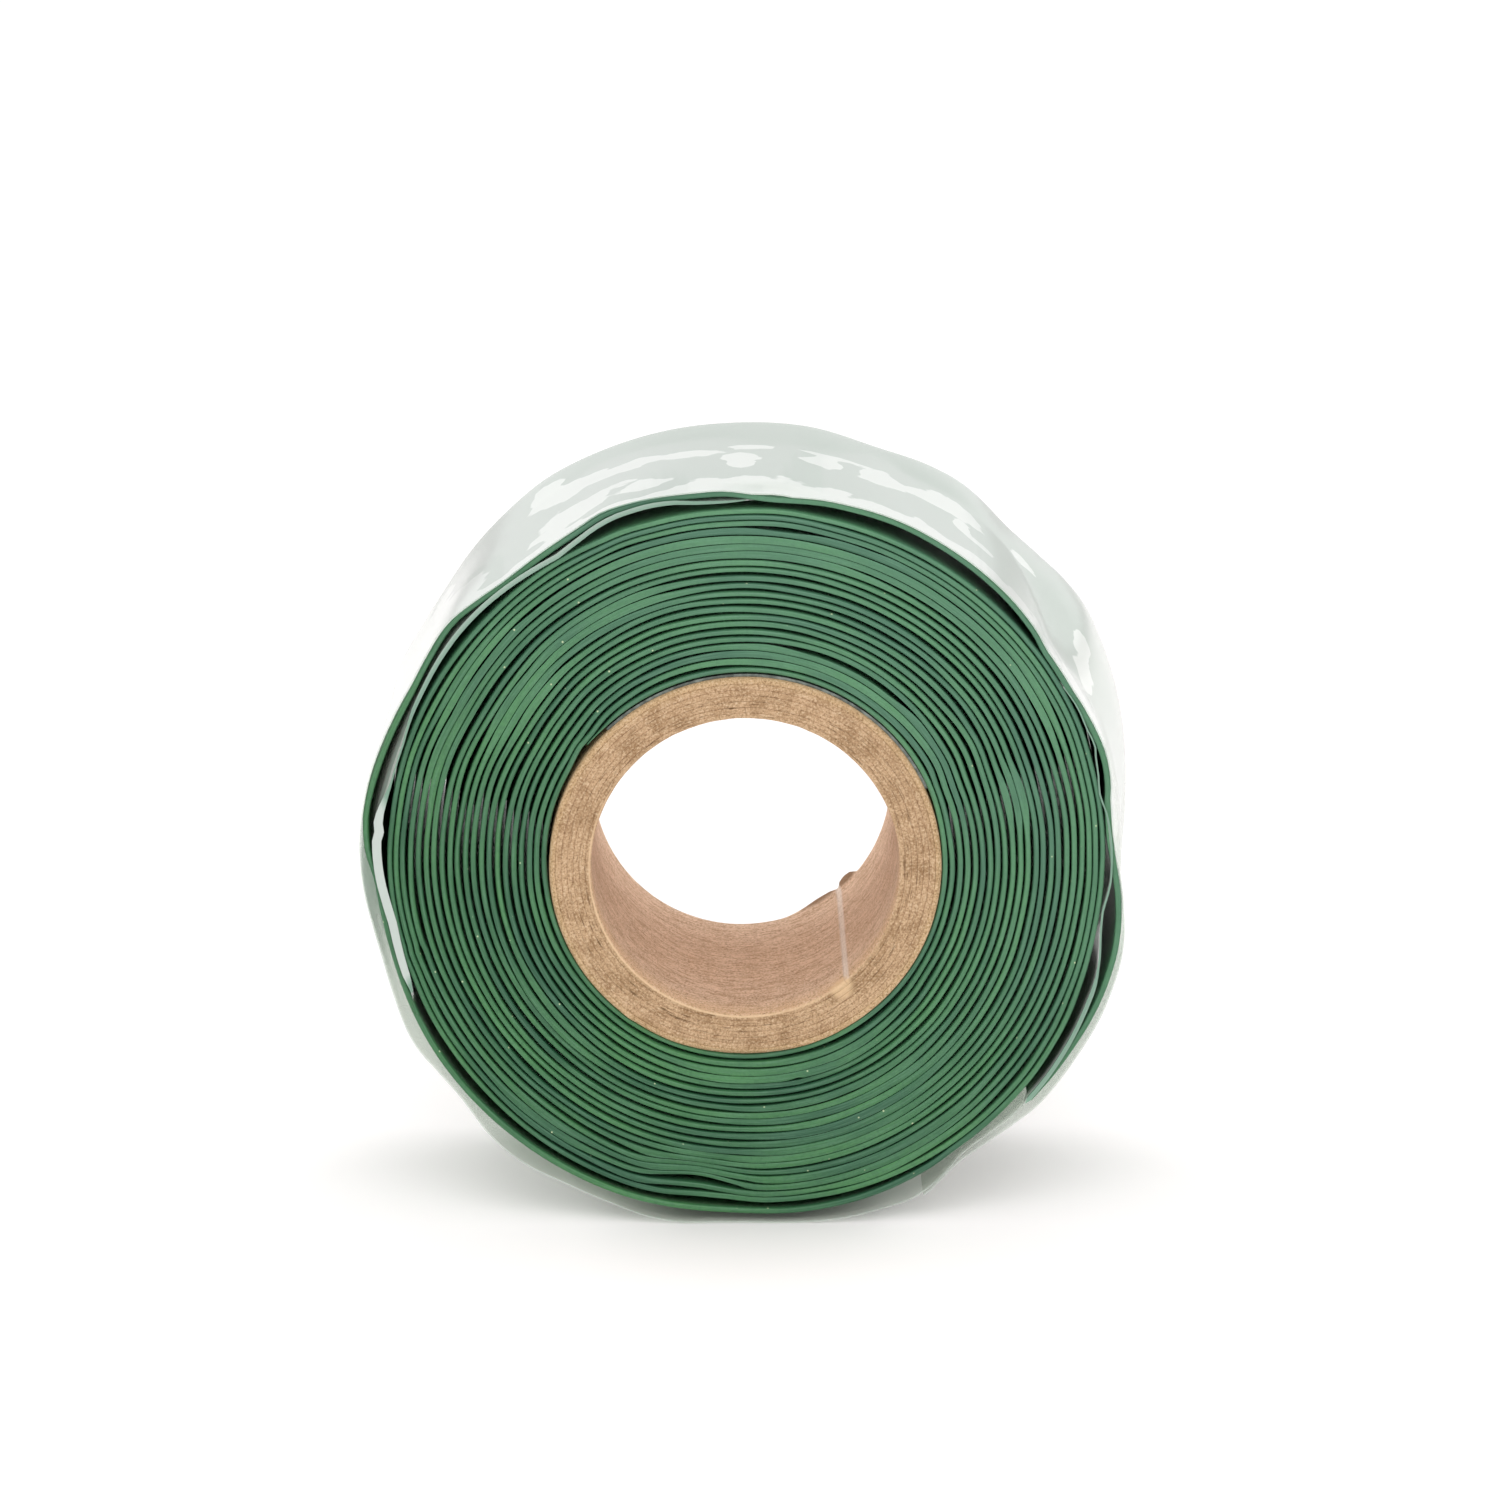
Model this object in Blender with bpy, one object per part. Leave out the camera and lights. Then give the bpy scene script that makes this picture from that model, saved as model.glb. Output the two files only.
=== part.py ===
"""A roll of self-fusing silicone tape, standing on its rim.

A green tape and its clear liner film are wound together, clockwise and outward, on a paper core.
Each of the two is one unbroken ribbon. The last lap of the tape has come loose and lies in waves,
and the liner goes on past the tape's cut end for one more lap, on which the roll stands.

Lengths are in metres. +Z is up, the roll's axis lies along Y, and -Y is the front. The origin is on
the surface that the roll stands on, under the middle of the roll. Angles about the axis are in
degrees as seen from the front: 0 is at +X and 90 is at the top.
"""

import math

import bmesh
import bpy
import numpy as np

MM = 0.001

# Paper core: plies glued one over another into a tube, whose ends stand proud of the tape
BORE_RADIUS = 12.7 * MM
PLY_COUNT = 7
PLY_THICKNESS = 0.45 * MM
GLUE_LINE = 0.05 * MM
CORE_PROUD = 0.3 * MM
SEAM_GAP = 0.25 * MM
FIRST_SEAM_ANGLE = -50.0
SEAM_STAGGER_ANGLE = 140.0
CORE_FACETS = 48

# Starter strip, stuck to the core under the first lap
STRIP_THICKNESS = 0.25 * MM
STRIP_CLEARANCE = 0.05 * MM
STRIP_INSET = 0.7 * MM
STRIP_ARC_ANGLE = 110.0

# Tape, with the room between two of its turns that holds the liner
TAPE_THICKNESS = 0.5 * MM
TAPE_WIDTH = 25.4 * MM
TURN_SPACE = 0.48 * MM
START_SPACE = 0.75 * MM
START_ANGLE = 134.0
CUT_END_ANGLE = 320.0
WHOLE_TURNS = 13

# Every turn climbs onto the one below in a short step, where it passes over the tape's start
STEP_ARC_ANGLE = 34.0

# Liner film, whose edges lie a little inside the tape's
LINER_THICKNESS = 0.1 * MM
LINER_INSET = 0.1 * MM
LINER_OVERRUN_ANGLE = 372
FLAT_DEPTH = 0.5 * MM

# Angles between stations along the ribbons: the tight turns, and the loose lap with its waves
TIGHT_STATION_ANGLE = 12
LOOSE_STATION_ANGLE = 6
LOOSE_ARC_ANGLE = 366

# How far the tight winding bulges from round at its outside, by angle about the axis
BODY_SWELL = (
    (0, 0.25 * MM),
    (30, 0.2 * MM),
    (62, 0.95 * MM),
    (112, 0.95 * MM),
    (137, 0.76 * MM),
    (150, 0.9 * MM),
    (169, 1.3 * MM),
    (192, 0.95 * MM),
    (248, 1.15 * MM),
    (264, 0.75 * MM),
    (290, 1.2 * MM),
    (308, 0.9 * MM),
    (325, 0.8 * MM),
    (360, 0.25 * MM),
)

# How far the loose lap of tape is lifted off the winding, by degrees before its cut end
TAPE_LIFTS = (
    (0, 0.34 * MM),
    (22, 1.03 * MM),
    (45, 0.0 * MM),
    (58, 0.69 * MM),
    (74, 0.12 * MM),
    (92, 0.65 * MM),
    (117, 0.58 * MM),
    (150, 1.14 * MM),
    (166, 0.13 * MM),
    (180, 1.08 * MM),
    (194, 0.62 * MM),
    (211, 1.23 * MM),
    (228, 0.19 * MM),
    (290, 0.2 * MM),
    (334, 0.34 * MM),
    (350, 0.0 * MM),
)

# How far the middle of the liner stands off the tape below it, by degrees past the tape's cut end
LINER_LIFTS = (
    (0, 0.56 * MM),
    (12, 0.25 * MM),
    (24, 1.0 * MM),
    (50, 1.2 * MM),
    (63, 1.4 * MM),
    (78, 0.72 * MM),
    (88, 1.1 * MM),
    (100, 0.45 * MM),
    (112, 1.0 * MM),
    (125, 0.7 * MM),
    (140, 0.7 * MM),
    (152, 0.2 * MM),
    (320, 0.2 * MM),
    (345, 0.35 * MM),
    (360, 0.2 * MM),
    (366, 1.25 * MM),
    (372, 0.8 * MM),
)

# How much further out the liner's back edge stands than its front edge, by the same degrees
LINER_FLARES = (
    (240, 0.0 * MM),
    (262, 0.4 * MM),
    (274, 0.6 * MM),
    (290, 2.2 * MM),
    (320, 2.3 * MM),
    (335, 0.5 * MM),
    (345, 0.0 * MM),
)

# Colour, roughness
CORE_FINISH = ((0.62, 0.43, 0.25, 1.0), 0.9)
STRIP_FINISH = ((0.32, 0.34, 0.33, 1.0), 0.5)
TAPE_FINISH = ((0.05, 0.27, 0.10, 1.0), 0.55)
LINER_FINISH = ((0.72, 0.78, 0.74, 1.0), 0.15)

CORE_LENGTH = TAPE_WIDTH + 2 * CORE_PROUD
STRIP_WIDTH = TAPE_WIDTH - 2 * STRIP_INSET
LINER_WIDTH = TAPE_WIDTH - 2 * LINER_INSET
TURN_PITCH = TAPE_THICKNESS + TURN_SPACE
CORE_RADIUS = BORE_RADIUS + PLY_COUNT * PLY_THICKNESS + (PLY_COUNT - 1) * GLUE_LINE
FIRST_TURN_RADIUS = CORE_RADIUS + START_SPACE + TAPE_THICKNESS / 2
TAPE_WOUND = int(360 * WHOLE_TURNS + (START_ANGLE - CUT_END_ANGLE) % 360)


def eased(table, position):
    """Read a table of (position, value) with a smooth wave from each row to the next."""
    if position <= table[0][0]:
        return table[0][1]
    for (low, low_value), (high, high_value) in zip(table, table[1:]):
        if position <= high:
            share = (position - low) / (high - low)
            return low_value + (high_value - low_value) * share * share * (3 - 2 * share)
    return table[-1][1]


def turns_below(wound):
    """How many turns lie below this one, changing in a smooth step at the tape's start."""
    whole, into_turn = divmod(wound + STEP_ARC_ANGLE, 360)
    share = min(into_turn / STEP_ARC_ANGLE, 1.0)
    return max(0.0, whole - 1 + share * share * (3 - 2 * share))


def tape_radius(wound):
    """Radius of the middle of the tape after so many degrees of winding."""
    swell = eased(BODY_SWELL, (START_ANGLE - wound) % 360) * wound / TAPE_WOUND
    lift = eased(TAPE_LIFTS, TAPE_WOUND - wound)
    return FIRST_TURN_RADIUS + TURN_PITCH * turns_below(wound) + swell + lift


def liner_radius(wound):
    """Radius of the middle of the liner: under its turn of tape, then outside the last one."""
    past_end = wound - TAPE_WOUND
    if past_end < 0:
        return tape_radius(wound) - (TAPE_THICKNESS + TURN_SPACE) / 2
    tape_below = wound - 360 if past_end <= 360 else wound - 720
    return tape_radius(tape_below) + TAPE_THICKNESS / 2 + eased(LINER_LIFTS, past_end)


def ribbon_stations(radius_at, thickness, wound_end, flares=((0, 0.0),)):
    """List (angle, inner radius, outer radius, flare) along a ribbon, finely once it is loose."""
    loose_start = TAPE_WOUND - LOOSE_ARC_ANGLE
    steps = list(range(0, loose_start, TIGHT_STATION_ANGLE))
    steps += list(range(loose_start, int(wound_end) + 1, LOOSE_STATION_ANGLE))
    stations = []
    for wound in steps:
        middle = radius_at(wound)
        flare = eased(flares, wound - TAPE_WOUND)
        stations.append((START_ANGLE - wound, middle - thickness / 2, middle + thickness / 2, flare))
    return stations


def at_angle(radius, angle):
    """Point of the roll's cross section, as x and z from its axis."""
    return radius * math.cos(math.radians(angle)), radius * math.sin(math.radians(angle))


def lowest_point(stations):
    return min(at_angle(outer, angle)[1] for angle, _, outer, _ in stations)


def press_flat(stations, floor):
    """Bend a ribbon flat where it would pass below a level."""
    pressed = []
    for angle, inner, outer, flare in stations:
        drop = math.sin(math.radians(angle))
        if outer * drop < floor:
            inner += floor / drop - outer
            outer = floor / drop
        pressed.append((angle, inner, outer, flare))
    return pressed


def least_self_gap(stations, samples=4):
    """Least distance between two turns of a ribbon, measured on points along its faces."""
    inner_face = np.array([at_angle(inner, angle) for angle, inner, _, _ in stations])
    outer_face = np.array([at_angle(outer, angle) for angle, _, outer, _ in stations])
    shares = np.arange(samples)[:, None, None] / samples
    inner_points = inner_face[:-1] * (1 - shares) + inner_face[1:] * shares
    outer_points = outer_face[:-1] * (1 - shares) + outer_face[1:] * shares
    wound = np.array([stations[0][0] - angle for angle, _, _, _ in stations[:-1]])
    least = math.inf
    for index, here in enumerate(wound):
        earlier = wound <= here - 180
        if earlier.any():
            apart = inner_points[:, index, None, None] - outer_points[None, :, earlier]
            least = min(least, np.linalg.norm(apart, axis=-1).min())
    return least


def finish(name, colour, roughness):
    material = bpy.data.materials.new(name)
    material.use_nodes = True
    shader = material.node_tree.nodes["Principled BSDF"]
    shader.inputs["Base Color"].default_value = colour
    shader.inputs["Roughness"].default_value = roughness
    shader.inputs["Metallic"].default_value = 0.0
    return material


def swept_band(name, stations, width, look, roll):
    """One closed band of rectangular section that follows its stations about the roll's axis."""
    mesh_edit = bmesh.new()
    rings = []
    for angle, inner, outer, flare in stations:
        corners = []
        for radius, side in ((inner, -1), (outer, -1), (outer + flare, 1), (inner + flare, 1)):
            x, z = at_angle(radius, angle)
            corners.append(mesh_edit.verts.new((x, side * width / 2, z)))
        rings.append(corners)
    for ring, following in zip(rings, rings[1:]):
        for corner in range(4):
            beside = (corner + 1) % 4
            mesh_edit.faces.new((ring[corner], ring[beside], following[beside], following[corner]))
    mesh_edit.faces.new(rings[0])
    mesh_edit.faces.new(rings[-1])
    bmesh.ops.recalc_face_normals(mesh_edit, faces=mesh_edit.faces)

    mesh = bpy.data.meshes.new(name)
    mesh_edit.to_mesh(mesh)
    mesh_edit.free()
    mesh.shade_smooth()
    mesh.set_sharp_from_angle(angle=math.radians(40))
    mesh.materials.append(finish(name, *look))
    band = bpy.data.objects.new(name, mesh)
    band.parent = roll
    bpy.context.collection.objects.link(band)
    return band


def core_arc(inner, outer, start, end):
    """Stations of a sleeve round the core whose flats all line up, from one angle to another."""
    facet = 360 / CORE_FACETS
    angles = [start]
    angles += [facet * step for step in range(math.floor(start / facet) + 1, math.ceil(end / facet))]
    angles.append(end)
    stations = []
    for angle in angles:
        off_middle = math.radians(angle % facet - facet / 2)
        on_flat = math.cos(math.radians(facet / 2)) / math.cos(off_middle)
        stations.append((angle, inner * on_flat, outer * on_flat, 0.0))
    return stations


def build_core(roll):
    """Each ply is a sleeve with a butt seam, turned away from the seam of the ply below."""
    for ply in range(PLY_COUNT):
        inner = BORE_RADIUS + ply * (PLY_THICKNESS + GLUE_LINE)
        outer = inner + PLY_THICKNESS
        seam = FIRST_SEAM_ANGLE + ply * SEAM_STAGGER_ANGLE
        half_gap = math.degrees(SEAM_GAP / 2 / inner)
        stations = core_arc(inner, outer, seam + half_gap, seam + 360 - half_gap)
        swept_band(f"core_ply_{ply + 1}", stations, CORE_LENGTH, CORE_FINISH, roll)


def build_starter_strip(roll):
    inner = CORE_RADIUS + STRIP_CLEARANCE
    stations = core_arc(inner, inner + STRIP_THICKNESS, START_ANGLE - STRIP_ARC_ANGLE, START_ANGLE)
    swept_band("starter_strip", stations, STRIP_WIDTH, STRIP_FINISH, roll)


def build_roll():
    tape = ribbon_stations(tape_radius, TAPE_THICKNESS, TAPE_WOUND)
    liner_wound = TAPE_WOUND + LINER_OVERRUN_ANGLE
    liner = ribbon_stations(liner_radius, LINER_THICKNESS, liner_wound, LINER_FLARES)
    floor = lowest_point(liner) + FLAT_DEPTH
    liner = press_flat(liner, floor)

    across = [at_angle(outer + flare, angle)[0] for angle, _, outer, flare in liner]
    roll = bpy.data.objects.new("roll_axis", None)
    roll.location = (-(min(across) + max(across)) / 2, 0.0, -floor)
    bpy.context.collection.objects.link(roll)

    build_core(roll)
    build_starter_strip(roll)
    swept_band("tape", tape, TAPE_WIDTH, TAPE_FINISH, roll)
    swept_band("liner_film", liner, LINER_WIDTH, LINER_FINISH, roll)
    print(f"tape: least gap to itself {least_self_gap(tape) / MM:.3f} mm")
    print(f"liner_film: least gap to itself {least_self_gap(liner) / MM:.3f} mm")


for old in list(bpy.data.objects):
    bpy.data.objects.remove(old, do_unlink=True)

build_roll()
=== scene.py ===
"""A roll of green self-fusing silicone tape with its clear liner, on a paper core, on a white table.

Radii and widths are in millimetres about the roll's axis, and angles in degrees as seen from the
front: 0 is on the right and 90 at the top. The tape is wound clockwise and outward. "Wound" counts
the degrees of winding from the tape's start, so a full lap is 360.
"""

import math

import bmesh
import bpy
import numpy as np
from mathutils import Matrix, Vector


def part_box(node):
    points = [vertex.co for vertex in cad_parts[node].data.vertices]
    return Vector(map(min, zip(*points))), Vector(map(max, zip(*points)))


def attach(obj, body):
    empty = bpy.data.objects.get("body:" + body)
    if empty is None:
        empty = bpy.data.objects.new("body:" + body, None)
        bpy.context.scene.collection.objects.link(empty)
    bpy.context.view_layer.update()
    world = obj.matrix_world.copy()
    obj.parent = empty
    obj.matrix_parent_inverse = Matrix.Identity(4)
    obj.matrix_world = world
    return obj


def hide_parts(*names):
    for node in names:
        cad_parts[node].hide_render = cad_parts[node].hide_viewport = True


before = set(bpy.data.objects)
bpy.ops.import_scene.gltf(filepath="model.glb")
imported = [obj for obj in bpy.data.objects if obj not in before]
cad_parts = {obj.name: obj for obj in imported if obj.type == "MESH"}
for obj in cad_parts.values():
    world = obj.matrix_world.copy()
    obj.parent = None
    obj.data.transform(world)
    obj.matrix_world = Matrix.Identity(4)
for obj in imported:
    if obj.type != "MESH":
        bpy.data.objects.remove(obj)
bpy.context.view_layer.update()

MM = 0.001

# ---------------------------------------------------------------- sizes read from the real roll

# The core, with a thin line of glue between two plies. The seam of each ply lies SEAM_STAGGER degrees
# on from the seam of the one inside it
BORE_RADIUS = 12.7
CORE_RADIUS = 16.15
CORE_HALF = 13.0
PLY_COUNT = 7
PLY_ROOM = 0.006
SEAM_ANGLE = -50.0
SEAM_STAGGER = 140.0
SEAM_HALF_GAP = 0.01
GLUE_ANGLE = -49.0
SHRED_PLACE = (7.9, -12.7, -10.3)
ROUGH_END = 0.06
FRESH_CORNER = 0.04
LIP_WEAR = 0.26
LIP_WEAR_SPREAD = 0.16

# The tape: its corners are between sharp and soft, and its edges are swollen shut over narrow gaps
TAPE_THICK = 0.45
LOOSE_THICK = 0.51
TAPE_HALF = 12.7
SHOULDER = 0.4
SHARPEST_CORNER = 0.03
CORNER_SPREAD = 0.13
CORNER_SLOPE = 2.2
LARGEST_CORNER_SHARE = 0.4
WIDEST_CLOSED_GAP = 0.36
CLOSING_SPAN = 0.12
THIN_START_ARC = 16.0
THIN_START_SHARE = 0.15

# The liner, with its room between two laps of tape, and the strip at the start
FILM_THICK = 0.05
FILM_HALF = 12.55
FILM_ROOM = 0.012
STRIP_THICK = 0.22
STRIP_HALF = 12.45
STRIP_ARC = 110.0
STRIP_ROOM = 0.012

# Where the strip and the tape start and end, and how far the last loose lap and the film's tail reach
STRIP_START = 134.0
TAPE_START = 141.0
CUT_END_ANGLE = 320.0
WHOLE_LAPS = 22
TAPE_WOUND = 360 * WHOLE_LAPS + (TAPE_START - CUT_END_ANGLE) % 360
LOOSE_LAP = 372.0
LOOSE_GROWTH = 20.0
FILM_TAIL = 383.0

# How finely the ribbons are drawn: degrees from ring to ring, places across where they are loose, steps
# round the tape's corners, and the angle from which an edge is shaded as sharp
STEP = 1.5
LAP = int(360 / STEP)
LOOSE_COLUMNS = 30
CORNER_STEPS = 3
SHARP_FROM = 50.0

# Length of ribbon for each degree at the mean radius, which the patterns in the materials go by
MM_PER_DEGREE = 0.4

# How far the core's front rim is worn down at its outside, by angle
RIM_WEAR = (
    (0, 0.25), (25, 0.14), (160, 0.14), (170, 0.25), (228, 0.25), (233, 0.06), (236, 0.25), (248, 0.14),
    (260, 0.36), (268, 0.42), (278, 0.34), (290, 0.1), (338, 0.06), (350, 0.2), (360, 0.25),
)

# How far a torn flap of the innermost ply stands in from the back rim, by angle, and its depth
FLAP = (
    (0, 0.0), (286, 0.0), (295, 0.22), (302, 0.4), (307, 0.34), (311, 0.12), (313, 0.42), (316, 0.55),
    (319, 0.45), (321.5, 0.0), (360, 0.0),
)
FLAP_DEPTH = 1.4

# The lines between laps lie this far apart, counted out along 0 degrees
FIRST_LINE = 16.82
LAP_PITCH = 0.623

# How far the line near radius 18 strays from an even spiral, by angle, and how far it is from there
# out to the other line that was measured
INNER_STRAY_RADIUS = 18.0
STRAY_SPAN = 8.1
INNER_STRAY = (
    (0, 0.0), (20, 0.0), (30, 0.25), (40, 0.28), (70, 0.4), (90, 0.5), (110, 0.62), (120, 0.6),
    (130, 0.48), (140, 0.16), (150, 0.0), (160, 0.0), (180, -0.19), (200, -0.22), (220, -0.32),
    (250, -0.13), (270, -0.08), (300, 0.1), (320, 0.05), (330, -0.05), (345, -0.05), (360, 0.0),
)

# The same for the line near radius 26
OUTER_STRAY = (
    (0, 0.06), (10, 0.22), (20, 0.29), (30, 0.45), (40, 0.59), (70, 0.66), (90, 0.79), (105, 0.86),
    (120, 0.78), (130, 0.7), (140, 0.41), (150, 0.23), (160, 0.36), (170, 0.21), (180, 0.15),
    (190, 0.03), (200, -0.1), (210, -0.2), (225, -0.22), (240, -0.13), (250, -0.04), (270, 0.03),
    (280, 0.19), (290, 0.27), (300, 0.26), (320, 0.16), (340, 0.03), (350, -0.02), (360, 0.06),
)

# Inner face of the first lap: on the starter strip, off its end, then up over the tape's own start
FIRST_LAP = (
    (0, 16.62), (8, 16.52), (50, 16.52), (90, 16.48), (111, 16.42), (135, 16.22), (280, 16.2),
    (313, 16.27), (325, 16.38), (337, 16.48), (350, 16.52), (360, 16.8),
)

# Outside of the last tight lap, which shows under the loose one, by degrees before the cut end
LAST_TIGHT_LAP = 732
TIGHT_END = (
    (372, 29.92), (380, 29.7), (394, 29.47), (402, 29.65), (420, 29.85), (440, 30.05), (480, 30.25),
    (520, 30.22), (535, 30.0), (550, 29.85), (565, 29.6), (580, 29.35), (605, 29.1), (620, 29.12),
    (635, 29.25), (650, 29.33), (655, 29.25), (663, 28.88), (670, 28.95), (680, 29.4), (690, 29.6),
    (700, 29.65), (720, 29.55), (732, 29.35),
)

# Outside of the loose lap at its front edge, by degrees before the cut end
LOOSE_FRONT = (
    (0, 31.3), (5, 31.4), (10, 31.5), (15, 31.65), (20, 31.72), (25, 31.7), (30, 31.5), (35, 31.1),
    (40, 30.6), (45, 30.3), (50, 30.45), (53, 30.8), (58, 31.05), (65, 30.83), (74, 30.5),
    (80, 31.05), (88, 31.43), (98, 31.65), (107, 31.78), (117, 31.65), (125, 31.93), (135, 31.87),
    (145, 32.12), (150, 32.2), (155, 31.77), (160, 31.47), (168, 31.22), (173, 31.5), (179, 31.9),
    (186, 31.55), (192, 31.32), (202, 31.5), (211, 31.72), (217, 31.35), (223, 30.5), (235, 30.17),
    (253, 30.34), (270, 30.34), (290, 30.38), (307, 30.16), (320, 30.5), (330, 30.6), (340, 30.45),
    (350, 30.07), (356, 30.15), (362, 30.12), (372, 29.95),
)

# The same at its back edge, from the outline that shows over the top of the roll
LOOSE_BACK = (
    (0, 31.3), (15, 31.5), (30, 31.6), (45, 31.5), (60, 31.6), (75, 31.5), (85, 31.65), (95, 32.05),
    (105, 31.6), (115, 31.5), (122, 31.65), (130, 31.55), (145, 31.5), (160, 31.45), (170, 31.1),
    (180, 30.7), (188, 30.5), (200, 30.8), (212, 30.8), (222, 30.5), (240, 30.3), (260, 30.45),
    (275, 30.35), (290, 30.45), (307, 30.3), (320, 30.45), (335, 30.5), (350, 30.2), (372, 29.95),
)

# How far the loose lap sags between its edges, which closes the tunnels under it on the right and left
LOOSE_BELLY = (
    (0, 0.0), (36, 0.2), (45, 1.3), (66, 1.3), (74, 0.3), (82, 0.0), (186, 0.0), (196, 1.2), (222, 1.2),
    (234, 0.0), (372, 0.0),
)
BELLY_PLACE = 2.0
BELLY_HALF = 9.0

# Outside of the liner's front edge under the loose lap, by degrees before the cut end
LINER_FRONT = (
    (0, 30.85), (10, 30.75), (17, 30.6), (21, 30.53), (25, 30.27), (27, 30.04), (29.5, 29.8),
    (32.5, 29.69), (35, 29.9), (38, 30.1), (43, 30.14), (48, 30.04), (52, 29.71), (55, 29.95),
    (58, 30.17), (60, 30.43), (63, 30.3), (66, 30.35), (72, 30.08), (76, 30.3), (82, 31.5),
    (90, 33.0), (118, 33.0), (127, 31.2), (134, 30.9), (137.5, 31.0), (141, 31.3), (145, 31.43), (149, 31.4),
    (152.5, 31.17), (156, 30.75), (158, 30.55), (160, 30.36), (164, 30.43), (167.5, 30.52),
    (171, 30.6), (175, 30.65), (179, 30.63), (183, 30.53), (186, 30.43), (190, 30.27),
    (194, 30.17), (197, 30.04), (200, 29.9), (206, 29.9), (209, 30.0), (212, 30.1), (214.5, 29.85),
    (215.5, 30.04), (218, 29.95), (222, 29.7), (226, 29.35), (230, 29.12), (234, 29.15),
    (238, 29.2), (240.5, 29.4), (243, 29.8), (246, 31.0), (372, 31.0),
)

# How far the liner leans out behind its front edge to the loose lap: 0 not at all, 1 right up to it
LEAN_FROM = 0.3
LEAN_REACH = 2.4
LINER_LEAN = ((0, 0), (74, 0), (84, 1), (372, 1))

# The liner's front edge is turned outward in front of the tape there: by how much
LINER_LIP = (
    (0, 0.3), (19, 0.3), (24, 0.12), (66, 0.08), (76, 0.02), (128, 0.02), (134, 0.2), (145, 0.36),
    (160, 0.38), (180, 0.36), (192, 0.3), (198, 0.12), (204, 0.08), (207, 0.2), (210, 0.5),
    (214, 0.74), (216, 0.7), (227, 0.66), (234, 0.6), (238, 0.55), (241, 0.15), (243, 0.02), (372, 0.02),
)

# Elsewhere it stays behind the tape's edge: by how much
LINER_RECESS = ((0, 0.0), (66, 0.0), (76, 0.7), (126, 0.7), (133, 0.0), (243, 0.0), (250, 0.8), (372, 0.8))
LIP_PLACE = 12.84
LIP_LEAN = 0.02
LIP_THICK = 0.04
LEAST_LIP = 0.05
PALE_LIP = 0.65
PALE_LIP_REACH = 3.0
TAIL_LIP = 0.08
TAIL_LIP_SLACK = 0.92

# Outside of the liner's own last lap at its front edge, by degrees past the cut end
TAIL_FRONT = (
    (0, 30.9), (4, 30.85), (8, 30.7), (12, 30.6), (14, 30.65), (16, 30.95), (17.8, 31.25),
    (20, 31.55), (22.5, 31.8), (25, 31.9), (27.5, 31.8), (30, 31.7), (35, 31.52), (42, 31.14),
    (47, 30.88), (50, 30.78), (54, 30.85), (57.5, 31.07), (60.5, 31.26), (65, 31.3), (69, 31.17),
    (72, 31.09), (77, 31.09), (80, 31.17), (84.5, 31.4), (88, 31.45), (93.5, 31.26), (97, 30.95),
    (101, 30.76), (105.5, 30.88), (110, 31.2), (112, 31.25), (120, 30.95), (125, 30.86),
    (130, 31.0), (135, 31.3), (140, 31.58), (145, 31.75), (152, 31.8), (165, 31.5), (224, 31.0),
    (228, 31.2), (231, 31.5), (234.5, 31.6), (238, 31.4), (241, 31.0), (246, 30.8), (272, 30.6),
    (318, 30.3), (324, 30.9), (330, 31.75), (336, 32.08), (343, 32.12), (350, 31.98), (360, 31.84),
    (365, 31.45), (370, 31.15), (374, 31.05), (378, 31.4), (380, 31.75), (383, 32.1),
)

# The same at its back edge
TAIL_BACK = (
    (0, 30.76), (6, 30.7), (12, 30.5), (20, 31.2), (32, 31.5), (45, 31.4), (60, 31.1), (75, 31.3),
    (88, 31.0), (100, 31.2), (112, 30.9), (125, 31.2), (138, 30.95), (150, 30.8), (160, 31.0),
    (168, 30.65), (175, 30.55), (180, 30.8), (190, 31.2), (200, 31.6), (210, 31.65), (225, 31.7),
    (240, 31.86), (250, 31.65), (260, 32.15), (265, 32.3), (275, 31.9), (281, 32.2), (287, 32.8),
    (293, 33.2), (300, 33.15), (315, 32.95), (325, 32.7), (335, 32.35), (345, 32.0), (360, 31.6),
    (372, 31.3), (383, 31.9),
)

# Where the liner's last lap has let go of the tape and looks pale: the angle and the place across of
# each patch, and half its arc and width
PALE_PATCHES = (
    (121.5, 6.5, 3.0, 4.5), (117.5, 3.0, 6.5, 2.8), (108, 2.4, 9, 1.8), (98.5, 2.1, 6, 1.4),
    (115.8, -6.2, 8, 3.6), (104.5, -7.3, 3.7, 1.9), (140, -6.5, 9, 4.2), (90.5, -0.6, 3.2, 1.7),
    (91, -2.8, 2.2, 2.0), (88.8, 3.4, 5, 0.7), (77.8, 0.7, 3.2, 2.2), (75, 3.4, 6, 0.7),
    (68.4, 0.8, 4.3, 2.6), (61, 1.2, 4, 1.6), (57, 2.4, 5.5, 2.3), (55.5, -2.2, 1.6, 1.6),
    (52.5, -3.8, 3, 0.8), (42, 5.2, 2.8, 1.2), (28, 1.8, 2.8, 2.6), (25.5, -2.4, 3.4, 2.6),
)

# How clear it is, by angle: it is clear round the lower half, where it hangs free of the tape
CLEARNESS = ((0, 0.4), (14, 0.0), (165, 0.0), (182, 0.5), (205, 0.82), (345, 0.82), (360, 0.4))

# How wide the pale band along its front edge is, by angle. Round the left side it is wider than the film:
# there the film is painted pale all over, painted light for the light that falls on that side
PALE_BAND = (
    (0, 6.0), (20, 5.0), (35, 4.0), (45, 3.2), (65, 3.2), (80, 4.0), (97, 4.6), (101, 2.5), (106, 1.2),
    (112, 1.2), (118, 2.5), (123, 2.5), (128, 1.5), (132, 2.5), (138, 8.0), (150, 30.0), (210, 40.0),
    (300, 40.0), (330, 30.0), (345, 8.0), (360, 6.0),
)

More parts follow.
